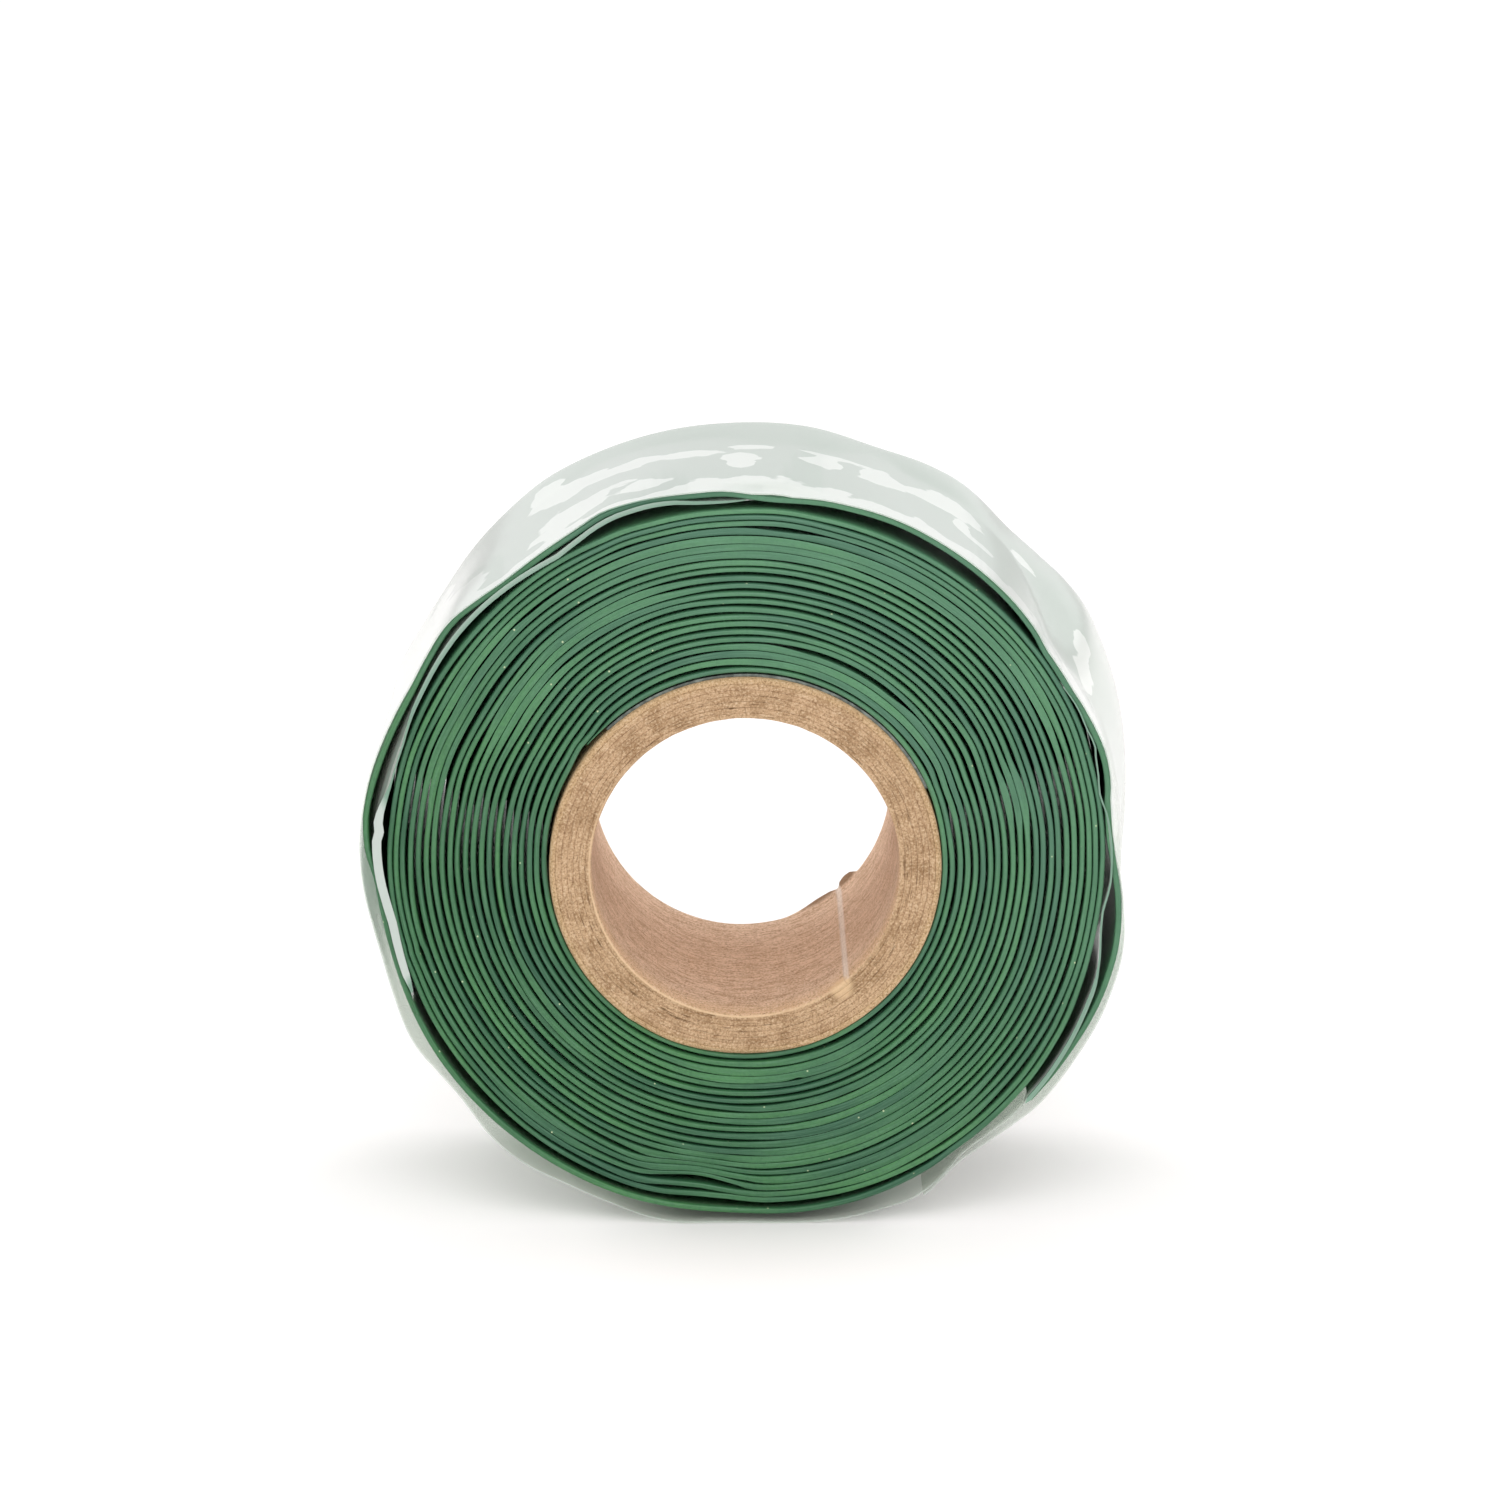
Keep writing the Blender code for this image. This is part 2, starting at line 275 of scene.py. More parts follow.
# Where the loose lap's front edge is dented in: angle, half its length, its depth, how far it reaches
DENT_ANGLE = 85.5
DENT_ARC = 9.0
DENT_DEPTH = 0.55
DENT_REACH = 3.2

# Where laps stand apart: from one angle and radius to another, and how wide the gap gets
GAPS = (
    (25, 18.95, 122, 19.0, 0.13), (60, 20.2, 100, 20.2, 0.1), (18, 20.9, 42, 20.9, 0.1),
    (103, 21.0, 117, 21.0, 0.08), (22, 22.1, 52, 22.1, 0.1), (88, 22.5, 122, 22.5, 0.12),
    (146, 21.7, 173, 21.7, 0.12), (22, 23.3, 48, 23.3, 0.1), (78, 23.7, 104, 23.7, 0.1),
    (166, 23.3, 190, 23.3, 0.1), (58, 24.9, 123, 24.9, 0.13), (142, 24.3, 172, 24.3, 0.1),
    (8, 25.85, 58, 25.85, 0.12), (118, 25.95, 178, 25.6, 0.14), (12, 28.3, 42, 28.3, 0.14),
    (72, 28.8, 94, 28.8, 0.12), (104, 28.7, 116, 28.7, 0.08), (178, 27.4, 202, 27.4, 0.13),
    (198, 27.95, 218, 27.95, 0.13), (232, 26.1, 262, 26.1, 0.1), (275, 18.6, 300, 18.6, 0.1),
    (262, 20.6, 284, 20.6, 0.08), (300, 21.9, 322, 22.2, 0.08), (210, 24.6, 236, 24.8, 0.1),
)

# Where laps are pressed so close that their edges run together: the angle and the radius of each
# place, and half its arc and depth. Each is pressed most over its middle part
PRESS_GAIN = 1.6
MOST_PRESSED = 0.9
PRESSED = (
    (300, 28.4, 22, 1.4), (262, 28.6, 24, 1.0), (78, 27.4, 70, 1.4), (36, 27.4, 20, 1.3),
    (142, 27.3, 18, 1.5), (232, 27.3, 16, 1.1), (292, 27.2, 36, 1.1), (90, 26.2, 38, 0.9),
    (157, 26.3, 16, 0.9), (256, 26.2, 12, 1.2), (285, 25.0, 38, 1.2), (120, 23.8, 26, 1.6),
    (292, 23.6, 34, 1.2), (142, 22.7, 18, 2.0), (298, 22.5, 34, 1.2), (15, 22.6, 10, 1.4),
    (290, 21.4, 38, 1.2), (62, 17.8, 60, 1.5), (282, 17.8, 44, 1.5), (218, 20.3, 24, 0.8),
)

# The kink near the bottom, where laps have sagged inward: how far each sags, by its even radius
KINK_ANGLE = 261.5
KINK_REACH = 12.5
KINK_SQUEEZE = 0.3
KINK_FROM = 24.2
KINK_TO = 27.9
KINK_SAG = (
    (24.4, 0.0), (25.1, 0.2), (25.7, 0.35), (26.34, 0.5), (26.96, 0.73), (27.58, 0.93),
    (28.2, 0.6), (28.83, 0.42), (29.5, 0.0),
)


# ---------------------------------------------------------------- small helpers

def linear(code):
    """Turn an sRGB hex colour into the linear values that a shader takes."""
    channels = [int(code[place:place + 2], 16) / 255 for place in (1, 3, 5)]
    spread = [c / 12.92 if c <= 0.04045 else ((c + 0.055) / 1.055) ** 2.4 for c in channels]
    return (*spread, 1.0)


def along(table, position):
    """Read a table of (position, value) along a smooth curve that never overshoots its rows."""
    places = np.array([row[0] for row in table], float)
    values = np.array([row[1] for row in table], float)
    run = np.diff(places)
    rise = np.diff(values) / run
    slope = np.zeros(len(places))
    same_way = rise[:-1] * rise[1:] > 0
    total = rise[:-1] + rise[1:]
    slope[1:-1] = np.where(same_way, 2 * rise[:-1] * rise[1:] / np.where(same_way, total, 1), 0)
    position = np.clip(np.asarray(position, float), places[0], places[-1])
    row = np.clip(np.searchsorted(places, position, side="right") - 1, 0, len(places) - 2)
    share = (position - places[row]) / run[row]
    return (
        values[row] * (2 * share ** 3 - 3 * share ** 2 + 1)
        + slope[row] * run[row] * (share ** 3 - 2 * share ** 2 + share)
        + values[row + 1] * (3 * share ** 2 - 2 * share ** 3)
        + slope[row + 1] * run[row] * (share ** 3 - share ** 2)
    )


def hump(distance):
    """A smooth hump: 1 in the middle, 0 from a distance of 1 outward."""
    inside = np.clip(1 - np.abs(distance), 0, 1)
    return inside * inside * (3 - 2 * inside)


def drift(position, every, seed):
    """Smooth random values between 0 and 1 that change over a given distance."""
    knots = np.random.default_rng(seed).random(int(np.max(position) / every) + 3)
    place = np.asarray(position, float) / every
    low = np.floor(place).astype(int)
    share = place - low
    share = share * share * (3 - 2 * share)
    return knots[low] * (1 - share) + knots[low + 1] * share


def stray(position, amount, every, seed):
    """A smooth random stray, by up to half the amount to each side, that changes over a given distance."""
    return amount * (drift(position, every, seed) - 0.5)


def turned(angle, centre):
    """Signed angle from a centre, between -180 and 180 degrees."""
    return (np.asarray(angle) - centre + 180) % 360 - 180


def ripple(wound_at, across, every_wound, every_across, seed):
    """Smooth random values between 0 and 1 over a ribbon's length and width."""
    knots = np.random.default_rng(seed).random((int(np.max(wound_at) / every_wound) + 3, 16))
    long_place = np.asarray(wound_at, float) / every_wound
    wide_place = (np.asarray(across, float) + TAPE_HALF + 1) / every_across
    row = np.floor(long_place).astype(int)
    column = np.clip(np.floor(wide_place).astype(int), 0, 14)
    down = long_place - row
    over = np.clip(wide_place - column, 0, 1)
    down = down * down * (3 - 2 * down)
    over = over * over * (3 - 2 * over)
    near = knots[row, column] * (1 - over) + knots[row, column + 1] * over
    far = knots[row + 1, column] * (1 - over) + knots[row + 1, column + 1] * over
    return near * (1 - down) + far * down


# ---------------------------------------------------------------- where the roll is

core_low, core_high = (Vector(corner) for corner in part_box("core_ply_7"))
AXIS = (core_low + core_high) / 2
FLOOR_DROP = AXIS.z / MM


# ---------------------------------------------------------------- how the ribbons are wound

wound = np.arange(0, TAPE_WOUND + STEP / 2, STEP)
angle = TAPE_START - wound
before_end = TAPE_WOUND - wound
even_line = FIRST_LINE + LAP_PITCH * (wound - TAPE_START - 360) / 360
outward = np.clip((even_line - INNER_STRAY_RADIUS) / STRAY_SPAN, -0.2, 1.25)
wished = even_line + (1 - outward) * along(INNER_STRAY, angle % 360)
wished += outward * along(OUTER_STRAY, angle % 360)

# Laps of one long strip never lie quite evenly: some stand off a little, and some press close
wished += 0.13 * (drift(wound, 31, 5) - 0.42) + stray(wound, 0.05, 9, 6)
for gap_from, radius_from, gap_to, radius_to, height in GAPS:
    share = (angle % 360 - gap_from) / (gap_to - gap_from)
    near = np.abs(wished - (radius_from + (radius_to - radius_from) * share)) < LAP_PITCH / 2
    wished += np.where(near, height * hump(2 * share - 1), 0)

kink = hump(turned(angle, KINK_ANGLE) / KINK_REACH)
wished -= along(KINK_SAG, even_line) * kink
squeezed = kink * (even_line > KINK_FROM) * (even_line < KINK_TO)

# The last tight lap ends at its measured outside, and the lap below it is drawn towards that
last_lap = before_end <= LAST_TIGHT_LAP
tight_end = along(TIGHT_END, np.where(last_lap, before_end, before_end - 360)) - TAPE_THICK
tight_end -= np.where(last_lap, 0, LAP_PITCH)
drawn = np.clip((LAST_TIGHT_LAP + 360 - before_end) / 360, 0, 1)
wished += drawn * (tight_end - wished)

pressed = np.zeros(len(wound))
for press_angle, press_radius, press_arc, press_depth in PRESSED:
    off = np.hypot(turned(angle, press_angle) / press_arc, (wished - press_radius) / press_depth)
    pressed = np.maximum(pressed, np.minimum(PRESS_GAIN * hump(off), MOST_PRESSED))
pressed = np.maximum(pressed, squeezed)

thin_start = np.clip(wound / THIN_START_ARC, 0, 1)
thin_start = THIN_START_SHARE + (1 - THIN_START_SHARE) * thin_start * thin_start * (3 - 2 * thin_start)
thick = TAPE_THICK * (1 - KINK_SQUEEZE * squeezed) * thin_start
thick += (LOOSE_THICK - TAPE_THICK) * np.clip((LOOSE_LAP - before_end) / LOOSE_GROWTH, 0, 1)
inner = np.zeros(len(wound))
for station in range(len(wound)):
    if station < LAP:
        inner[station] = along(FIRST_LAP, wound[station])
        continue
    below = inner[station - LAP] + thick[station - LAP]
    inner[station] = max(wished[station], below + FILM_THICK + FILM_ROOM)
outer = inner + thick

# The knife-cut edges: how soft their corners are, and how far they stray sideways
edge_wear = 0.35 + 0.65 * drift(wound, 33, 7)
edge_shift = stray(wound, 0.24, 83, 8) + stray(wound, 0.05, 17, 9)
back_shift = stray(wound, 0.11, 71, 10) + stray(wound, 0.07, 19, 11)


def between(front, back, across):
    """Value at a place across a ribbon whose two edges go their own ways."""
    share = np.clip((across + TAPE_HALF) / (2 * TAPE_HALF), 0, 1)
    return front + (back - front) * share * share * (3 - 2 * share)


FIRST_LOOSE = int(np.argmax(before_end <= LOOSE_LAP))
loose_front = along(LOOSE_FRONT, before_end)
loose_back = along(LOOSE_BACK, before_end)
belly = along(LOOSE_BELLY, before_end)
dent = DENT_DEPTH * hump(turned(angle, DENT_ANGLE) / DENT_ARC)


def tape_outer(station, across):
    """Outside radius of the tape at a station and a place across it."""
    if station < FIRST_LOOSE:
        return outer[station]
    free = between(loose_front[station], loose_back[station], across)
    free -= dent[station] * hump((across + TAPE_HALF) / DENT_REACH)
    free -= belly[station] * hump((across - BELLY_PLACE) / BELLY_HALF)
    return max(free, tape_outer(station - LAP, across) + 2 * FILM_ROOM + FILM_THICK + thick[station])


def tail_outer(past_end, across):
    """Outside radius of the liner's own last lap: off the tape, but never below the table."""
    station = len(wound) - 1 - LAP + round(past_end / STEP)
    free = between(along(TAIL_FRONT, past_end), along(TAIL_BACK, past_end), across)
    free += 0.06 * (ripple(past_end, across, 11, 5.1, 21) - 0.5) * min(past_end / 20, 1)
    if station < len(wound):
        free = max(free, tape_outer(station, across) + FILM_ROOM + FILM_THICK)
    else:
        free = max(free, tail_outer(past_end - 360, across) + FILM_ROOM + FILM_THICK)
    drop = math.sin(math.radians(CUT_END_ANGLE - past_end))
    if free * drop < -FLOOR_DROP:
        free = -FLOOR_DROP / drop
    return free


# ---------------------------------------------------------------- making the pieces

def local_point(turn, radius, across):
    """Point in metres about the roll's middle, from an angle, a radius and a place across."""
    turn = math.radians(turn)
    return radius * MM * math.cos(turn), across * MM, radius * MM * math.sin(turn)


def wrapped_band(name, rings, look, stands_for):
    """Skin a closed band over its rings and put it on the roll.

    A ring is its angle, its length along the band, and four runs of (across, radius): the front edge
    outward, the outer face to the back, the back edge inward, and the inner face to the front. A point
    of the liner also has its slack, from -1 where it is clear to 2 on its cut edge.
    """
    points, spread, slacks, runs = [], [], [], []
    for turn, length, *ring in rings:
        row, edge = [], 0.0
        last = None
        for run in ring:
            places = []
            for across, radius, *slack in run:
                if last:
                    edge += math.dist(last, (across, radius))
                last = (across, radius)
                places.append(len(points))
                points.append(local_point(turn, radius, across))
                spread.append((length, edge))
                slacks.extend(slack)
            row.append(places)
        runs.append(row)
    faces = []
    for (front_a, outer_a, back_a, inner_a), (front_b, outer_b, back_b, inner_b) in zip(runs, runs[1:]):
        chains = (
            (front_a, front_b),
            ([front_a[-1], *outer_a, back_a[0]], [front_b[-1], *outer_b, back_b[0]]),
            (back_a, back_b),
            ([back_a[-1], *inner_a, front_a[0]], [back_b[-1], *inner_b, front_b[0]]),
        )
        for here, there in chains:
            if len(here) != len(there):
                faces.append([*here, *reversed(there)])
                continue
            for step in range(len(here) - 1):
                faces.append((here[step], here[step + 1], there[step + 1], there[step]))
    faces.append([point for run in runs[0] for point in run])
    faces.append([point for run in reversed(runs[-1]) for point in reversed(run)])

    mesh = bpy.data.meshes.new(name)
    mesh.from_pydata(points, [], faces)
    edit = bmesh.new()
    edit.from_mesh(mesh)
    bmesh.ops.recalc_face_normals(edit, faces=edit.faces)
    edit.to_mesh(mesh)
    edit.free()
    layer = mesh.uv_layers.new(name="length_and_width")
    corners = np.zeros(len(mesh.loops), int)
    mesh.loops.foreach_get("vertex_index", corners)
    layer.data.foreach_set("uv", np.array(spread)[corners].ravel())
    if slacks:
        mesh.attributes.new("slack", "FLOAT", "POINT").data.foreach_set("value", slacks)
    mesh.shade_smooth()
    mesh.set_sharp_from_angle(angle=math.radians(SHARP_FROM))
    mesh.materials.append(look)
    piece = bpy.data.objects.new(name, mesh)
    piece.location = AXIS
    bpy.context.collection.objects.link(piece)
    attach(piece, "root")
    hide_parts(*stands_for)


def columns(half, count):
    """Even places across a ribbon, between its two edges."""
    return [half * (2 * (step + 1) / (count + 1) - 1) for step in range(count)]


def tape_ring(station):
    """One ring of the tape: knife-cut edges with soft corners that swell where laps are pressed."""
    loose = station >= FIRST_LOOSE
    soft = SHARPEST_CORNER + CORNER_SPREAD * edge_wear[station] * (1 - pressed[station])
    soft = min(soft, LARGEST_CORNER_SHARE * thick[station])
    room = 0.0
    if station + LAP < FIRST_LOOSE:
        gap = max(0.0, inner[station + LAP] - outer[station] - FILM_ROOM)
        room = gap * pressed[station] * max(0.0, min((WIDEST_CLOSED_GAP - gap) / CLOSING_SPAN, 1.0))
    front = -TAPE_HALF + edge_shift[station]
    back = TAPE_HALF + back_shift[station]

    def face(across, side):
        height = tape_outer(station, across)
        return height if side > 0 else height - thick[station]

    def corner(edge, inward, side):
        height = face(edge, side) + (room if side > 0 else 0)
        quarter = [math.radians(90 * step / CORNER_STEPS) for step in range(CORNER_STEPS + 1)]
        return [
            (
                edge + inward * CORNER_SLOPE * soft * (1 - math.sin(bend)),
                height - side * soft * (1 - math.cos(bend)),
            )
            for bend in quarter
        ]

    front_run = corner(front, 1, -1) + corner(front, 1, 1)[::-1]
    back_run = corner(back, -1, 1) + corner(back, -1, -1)[::-1]
    shoulders = (front + SHOULDER, back - SHOULDER)
    middle = columns(TAPE_HALF - SHOULDER, LOOSE_COLUMNS) if loose else []
    outer_run = [(across, face(across, 1)) for across in (shoulders[0], *middle, shoulders[1])]
    inner_run = [(across, face(across, -1)) for across in reversed(middle)]
    return angle[station], station * STEP * MM_PER_DEGREE, front_run, outer_run, back_run, inner_run


def film_ring(turn, length, heights, places, slacks, lip=0.0, lip_slack=0.0):
    """One ring of the liner, from its outside radius at each place across, with its lip if it has one."""
    outside = [(*point, slack) for *point, slack in zip(places, heights, slacks)]
    inside = [(across, height - FILM_THICK, slack) for across, height, slack in outside]
    back_run = [outside[-1], inside[-1]]
    if not lip:
        return turn, length, [inside[0], outside[0]], outside[1:-1], back_run, inside[-2:0:-1]
    tip = heights[0] + lip
    tip_slack = min(lip_slack + 0.15, 2.0)
    front_run = [(places[0] - LIP_LEAN - LIP_THICK, tip, tip_slack), (places[0] - LIP_LEAN, tip, tip_slack)]
    return turn, length, front_run, outside[:-1], back_run, inside[-2::-1]


def film_paleness(turn, across):
    """How the liner's last lap looks at a place: 0 grey where it clings, 1 pale, and -1 clear. It is pale
    where it has let go, and round its left side as painted light.
    """
    slack = 1 - 0.5 * (across + FILM_HALF) / float(along(PALE_BAND, turn % 360))
    for patch_angle, patch_across, arc, width in PALE_PATCHES:
        off = math.hypot(float(turned(turn, patch_angle)) / arc, (across - patch_across) / width)
        slack = max(slack, 1 - 0.5 * off)
    # The border of its clear part wanders by up to 13 degrees over the width
    wander = 8 * math.sin(across / 3.1) + 5 * math.sin(across / 1.3 + 1)
    clearness = float(along(CLEARNESS, (turn + wander) % 360))
    return max(0.0, slack) * (1 - clearness) - clearness


# ---------------------------------------------------------------- materials

def add_node(tree, kind, sockets=(), **settings):
    """Add a node with its settings, and fill or link the sockets that are named or numbered."""
    node = tree.nodes.new(kind)
    for name, value in settings.items():
        setattr(node, name, value)
    for name, value in dict(sockets).items():
        if isinstance(value, bpy.types.NodeSocket):
            tree.links.new(value, node.inputs[name])
        else:
            node.inputs[name].default_value = value
    return node


def new_finish(name):
    """An empty material and its output node."""
    finish = bpy.data.materials.new(name)
    finish.use_nodes = True
    finish.node_tree.nodes.clear()
    return finish, finish.node_tree, add_node(finish.node_tree, "ShaderNodeOutputMaterial")


def calc(tree, operation, *values):
    """A sum, product or comparison of sockets and numbers."""
    return add_node(tree, "ShaderNodeMath", dict(enumerate(values)), operation=operation).outputs[0]


def blended(tree, share, low, high):
    """A colour between two others."""
    mix = add_node(tree, "ShaderNodeMix", {0: share, 6: low, 7: high}, data_type="RGBA")
    return mix.outputs[2]


def stepped(tree, value, low, high, to_low=0.0, to_high=1.0):
    """A value brought smoothly from one range to another."""
    limits = {"From Min": low, "From Max": high, "To Min": to_low, "To Max": to_high}
    ramp = add_node(tree, "ShaderNodeMapRange", {"Value": value, **limits}, interpolation_type="SMOOTHSTEP")
    return ramp.outputs[0]


def grain(tree, vector, scale, detail, rough):
    """Noise of a given scale over a vector."""
    sockets = {"Vector": vector, "Scale": scale, "Detail": detail, "Roughness": rough}
    return add_node(tree, "ShaderNodeTexNoise", sockets).outputs[0]


def roll_places(tree):
    """Sockets for a point's own place on the roll in millimetres, and for its radius."""
    place = add_node(tree, "ShaderNodeTexCoord").outputs["Object"]
    enlarged = {0: place, 1: (1 / MM, 1 / MM, 1 / MM)}
    spot = add_node(tree, "ShaderNodeVectorMath", enlarged, operation="MULTIPLY").outputs[0]
    flat = add_node(tree, "ShaderNodeVectorMath", {0: spot, 1: (1, 0, 1)}, operation="MULTIPLY").outputs[0]
    radius = add_node(tree, "ShaderNodeVectorMath", {0: flat}, operation="LENGTH").outputs["Value"]
    return spot, radius


def ribbon_places(tree):
    """Sockets for the place along a ribbon and round its section."""
    spot = add_node(tree, "ShaderNodeUVMap", uv_map="length_and_width").outputs[0]
    split = add_node(tree, "ShaderNodeSeparateXYZ", {0: spot})
    return split.outputs[0], split.outputs[1]


def silicone_rubber():
    """Silicone rubber, calendered into tape and knife-cut: a satin green that wanders in tone."""
    finish, tree, output = new_finish("green_silicone_rubber_calendered")
    spot = roll_places(tree)[0]
    length, width = ribbon_places(tree)

    # Tone wanders along the tape over 10 to 60 mm, so that one lap is lighter than the next
    along_tape = add_node(tree, "ShaderNodeCombineXYZ", {0: length, 1: 0.0, 2: 0.0}).outputs[0]
    tone = grain(tree, along_tape, 0.035, 3.0, 0.6)
    tint = blended(tree, stepped(tree, tone, 0.36, 0.64), linear("#26553B"), linear("#48804C"))

    # Knife marks run along the cut edges, drawn 0.1 mm apart, coarser than real ones, so that they show
    marks_at = add_node(tree, "ShaderNodeCombineXYZ", {
        0: calc(tree, "MULTIPLY", length, 0.25),
        1: calc(tree, "MULTIPLY", width, 9.0),
        2: 0.0,
    }).outputs[0]
    marks = grain(tree, marks_at, 1.0, 2.0, 0.6)
    tint = blended(tree, stepped(tree, marks, 0.35, 0.75, 0.0, 0.45), tint, linear("#639074"))

    # Fine mottling of the rubber, about 0.3 mm
    mottle = grain(tree, spot, 3.2, 3.0, 0.6)
    tint = blended(tree, stepped(tree, mottle, 0.4, 0.75, 0.0, 0.35), tint, linear("#2B553E"))

    # Painted sheen: the edges are painted paler towards the upper right, where they catch more of the room's
    # light
    toward_upper_right = add_node(tree, "ShaderNodeVectorMath", {0: spot, 1: (0.6, 0, 0.8)}, operation="DOT_PRODUCT")
    painted_sheen = stepped(tree, toward_upper_right.outputs["Value"], -20.0, 30.0, 0.0, 0.24)
    tint = blended(tree, painted_sheen, tint, linear("#78A890"))

    # Lint and dust: pale specks of 0.1 to 0.2 mm, a few on each square centimetre
    specks = add_node(tree, "ShaderNodeTexVoronoi", {"Vector": spot, "Scale": 0.55}).outputs["Distance"]
    dust = stepped(tree, specks, 0.035, 0.06, 1.0, 0.0)
    tint = blended(tree, dust, tint, linear("#B9C9A0"))

    bump = add_node(tree, "ShaderNodeBump", {"Height": marks, "Strength": 0.25, "Distance": 0.03 * MM})
    skin = add_node(tree, "ShaderNodeBsdfPrincipled", {
        "Base Color": tint, "Roughness": 0.38, "IOR": 1.43, "Normal": bump.outputs[0],
    })
    tree.links.new(skin.outputs[0], output.inputs[0])
    return finish


def liner_film():
    """Clear polymer film, blown and slit: glossy and milky, grey where it clings, pale where it doesn't. Its
    paleness round the left side is painted light, and its whiteness seen edge-on is a painted reflection.
    """
    finish, tree, output = new_finish("clear_liner_film_blown")
    spot = roll_places(tree)[0]
    slack = add_node(tree, "ShaderNodeAttribute", attribute_name="slack").outputs["Fac"]

    # The pale patches have crisp edges that wave every 1 to 3 mm
    waver = calc(tree, "MULTIPLY_ADD", grain(tree, spot, 0.4, 2.0, 0.4), 0.7, -0.35)
    # Pale where the film has let go, and painted pale round its left side as painted light
    let_go_and_painted_light = stepped(tree, calc(tree, "ADD", slack, waver), 0.47, 0.53)
    haze_and_painted_light = blended(tree, let_go_and_painted_light, linear("#C5D0C7"), linear("#F0F4EF"))

    # Seen edge-on it is painted near white: a painted reflection of the white room
    edge_on = add_node(tree, "ShaderNodeLayerWeight", {"Blend": 0.5}).outputs["Facing"]
    haze_and_painted_light = blended(tree, stepped(tree, edge_on, 0.72, 0.97, 0.0, 0.9), haze_and_painted_light, linear("#F9FAF8"))

    # Where it is clear it only shows as a warm grey veil
    milkiness = stepped(tree, slack, -1.0, 0.0)
    haze_and_painted_light = blended(tree, milkiness, linear("#E8E4DE"), haze_and_painted_light)

    # Its slit edge is mint where it lies on the tape, and nearly white where it is turned outward
    slit_edge = stepped(tree, slack, 1.02, 1.12)
    edge_tint = blended(tree, stepped(tree, slack, 1.5, 1.95), linear("#86AE97"), linear("#D6E0D9"))
    haze_and_painted_light = blended(tree, slit_edge, haze_and_painted_light, edge_tint)

    skin = add_node(tree, "ShaderNodeBsdfPrincipled", {
        "Base Color": haze_and_painted_light, "Roughness": 0.16, "IOR": 1.5, "Coat Weight": 1.0, "Coat Roughness": 0.12,
    })
    glow = add_node(tree, "ShaderNodeBsdfTranslucent", {"Color": haze_and_painted_light})
    film = add_node(tree, "ShaderNodeMixShader", {0: 0.2, 1: skin.outputs[0], 2: glow.outputs[0]})
    clear = add_node(tree, "ShaderNodeBsdfTransparent", {"Color": linear("#F4F7F4")})

    # Milky film hides more the more edge-on it is seen, and clear film hides little
    milky_cover = stepped(tree, edge_on, 0.1, 0.8, 0.3, 0.88)
    milky_cover = calc(tree, "ADD", milky_cover, calc(tree, "MULTIPLY", let_go_and_painted_light, 0.1))
    clear_cover = stepped(tree, edge_on, 0.7, 1.0, 0.03, 0.35)
    cover = add_node(tree, "ShaderNodeMix", {0: milkiness, 2: clear_cover, 3: milky_cover}).outputs[0]
    cover = calc(tree, "MAXIMUM", cover, calc(tree, "MULTIPLY", slit_edge, 0.92))
    shown = add_node(tree, "ShaderNodeMixShader", {0: cover, 1: clear.outputs[0], 2: film.outputs[0]})
    tree.links.new(shown.outputs[0], output.inputs[0])
    return finish


